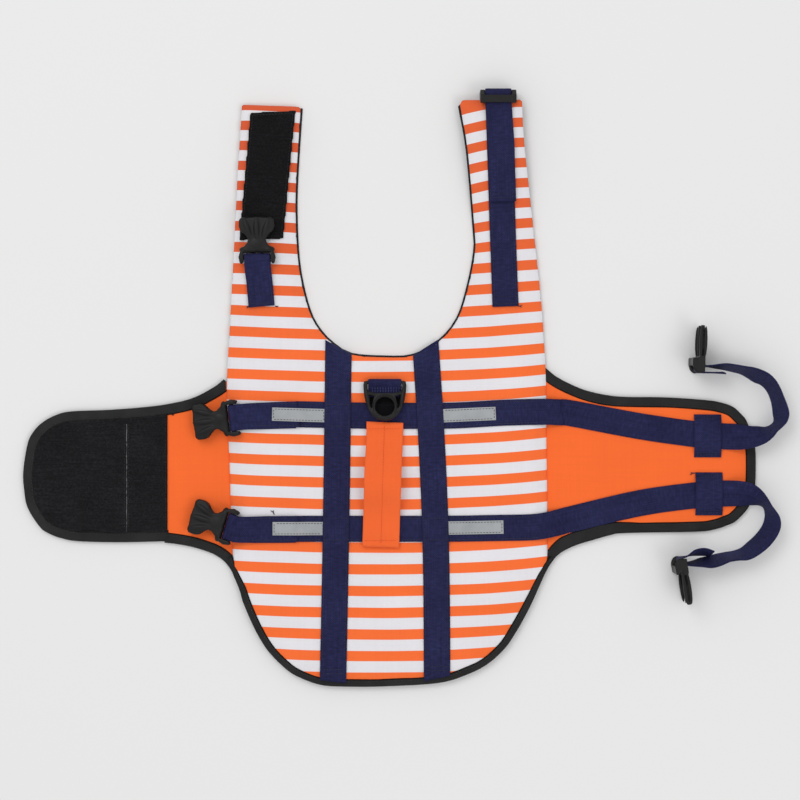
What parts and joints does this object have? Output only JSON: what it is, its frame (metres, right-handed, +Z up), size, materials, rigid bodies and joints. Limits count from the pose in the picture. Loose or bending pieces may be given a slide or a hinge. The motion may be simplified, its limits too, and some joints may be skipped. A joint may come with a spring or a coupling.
{
  "type": "dog life jacket",
  "caption": "Padded dog life jacket laid open flat, with belly wings, belts with side-release buckles, a lift handle and a lead ring.",
  "frame": {"origin": "middle of the bounding box on the table under the laid-out jacket", "axes": "+X towards the jacket's right belly wing, across the back; +Y towards the neck; +Z up from the table"},
  "size_m": [0.7482, 0.585, 0.0359],
  "materials": {
    "striped_cloth": "matt woven, printed in orange and off-white stripes",
    "orange_cloth": "matt woven",
    "handle_cloth": "matt woven",
    "lining_cloth": "matt mesh",
    "binding_tape": "matt ribbed tape",
    "loop_fabric": "napped loops",
    "webbing": "woven webbing, slight sheen",
    "reflective_tape": "satin grey retroreflective",
    "buckle_plastic": "moulded, fine satin"
  },
  "bodies": {
    "root": {"lining": "lining_cloth", "back_panel": "striped_cloth", "wing_left": "orange_cloth", "wing_right": "orange_cloth", "binding_left_wing": "binding_tape", "binding_left_rear": "binding_tape", "binding_tail": "binding_tape", "binding_right_wing": "binding_tape", "loop_panel_wide": "loop_fabric", "loop_panel_narrow": "loop_fabric", "neck_loop_panel": "loop_fabric", "belt_upper": "webbing", "belt_lower": "webbing", "spine_strap_left": "webbing", "spine_strap_right": "webbing", "neck_strap_left": "webbing", "neck_strap_right": "webbing", "keeper_upper": "webbing", "keeper_lower": "webbing", "ring_tab": "webbing", "reflective_upper_left": "reflective_tape", "reflective_upper_right": "reflective_tape", "reflective_lower_left": "reflective_tape", "reflective_lower_right": "reflective_tape", "handle": "handle_cloth", "buckle_male_upper": "buckle_plastic", "buckle_male_lower": "buckle_plastic", "buckle_male_neck": "buckle_plastic"},
    "ring_body": {"lead_ring": "buckle_plastic"},
    "buckle_upper_body": {"buckle_female_upper": "buckle_plastic"},
    "buckle_lower_body": {"buckle_female_lower": "buckle_plastic"},
    "buckle_neck_body": {"buckle_female_neck": "buckle_plastic"}
  },
  "joints": [
    {"name": "ring_swing", "type": "hinge", "parent": "root", "child": "ring_body", "pos_m": [-0.0194, 0.0058, 0.0143], "axis": [-1, 0, 0], "range_deg": [0, 160]},
    {"name": "buckle_upper_flip", "type": "hinge", "parent": "root", "child": "buckle_upper_body", "pos_m": [-0.1678, -0.029, 0.0156], "axis": [-0.1219, 0.9925, 0], "range_deg": [0, 90]},
    {"name": "buckle_lower_flip", "type": "hinge", "parent": "root", "child": "buckle_lower_body", "pos_m": [-0.1715, -0.135, 0.015], "axis": [0.2924, 0.9563, 0], "range_deg": [0, 90]},
    {"name": "buckle_neck_flip", "type": "hinge", "parent": "root", "child": "buckle_neck_body", "pos_m": [-0.1438, 0.1278, 0.0174], "axis": [0.9998, 0.0175, 0], "range_deg": [0, 90]}
  ]
}
